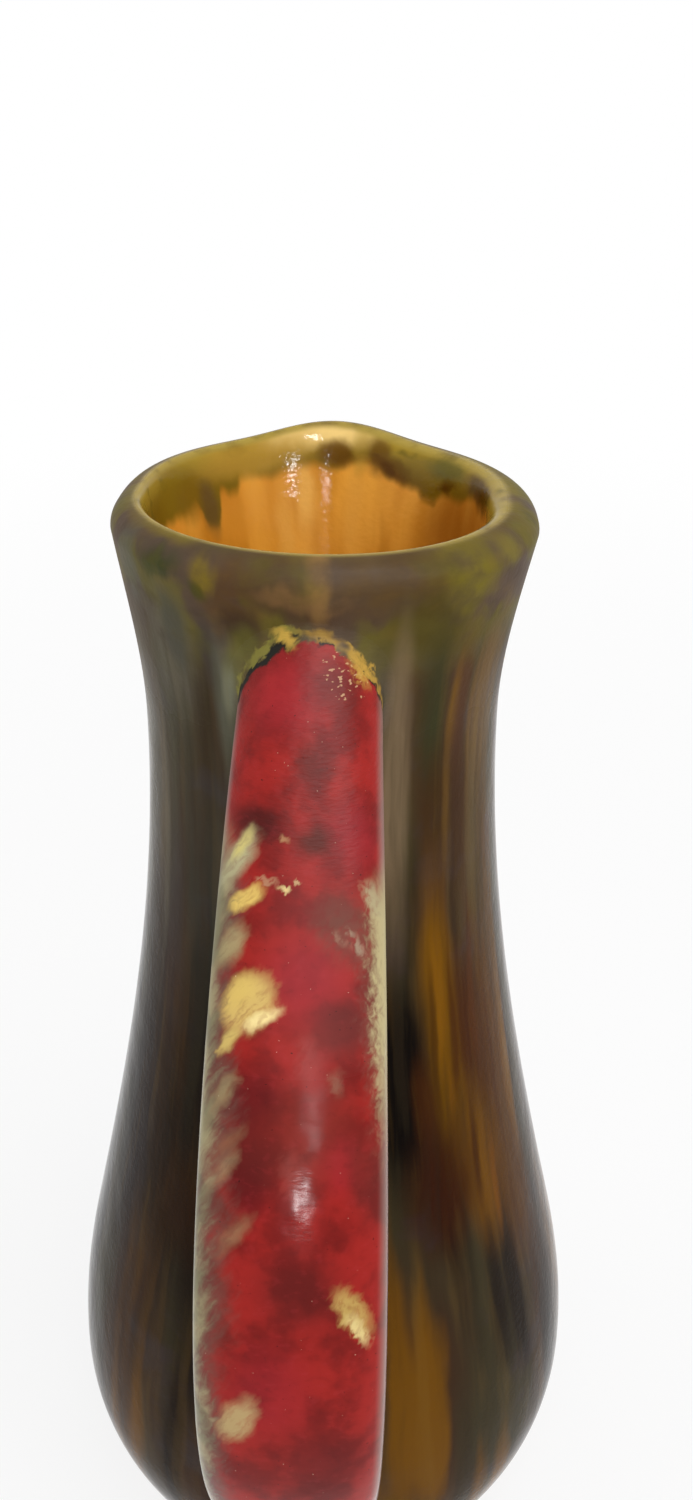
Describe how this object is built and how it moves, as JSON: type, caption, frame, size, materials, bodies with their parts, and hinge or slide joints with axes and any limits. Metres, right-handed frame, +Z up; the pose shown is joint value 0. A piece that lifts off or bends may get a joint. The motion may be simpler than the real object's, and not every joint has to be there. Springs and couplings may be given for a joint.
{
  "type": "ceramic jug",
  "caption": "Glazed ceramic jug with a pulled pouring lip, a waisted neck that flares to a full belly, and a strap handle luted on from under the rim to the belly.",
  "frame": {"origin": "centre of the foot, on the table", "axes": "+Z up along the jug's axis, +Y towards the pouring lip, -Y towards the handle, +X to the right with the handle in front"},
  "size_m": [0.1196, 0.1626, 0.2529],
  "materials": {
    "body_clay": "bare fired clay, matt, shown only at the foot",
    "slip": "fired slip, matt, hidden in the joints",
    "dark_glaze": "glossy grey-olive and brown glaze with ochre runs",
    "olive_glaze": "glossy olive and brown glaze with dripped edge",
    "amber_glaze": "glossy amber glaze",
    "red_glaze": "glossy red glaze with brown mottling and cream splashes"
  },
  "bodies": {
    "root": {"clay_body": "body_clay", "clay_handle": "body_clay", "upper_luting": "slip", "lower_luting": "slip", "outer_glaze": "dark_glaze", "rim_glaze": "olive_glaze", "inner_glaze": "amber_glaze", "handle_glaze": "red_glaze"}
  },
  "joints": []
}
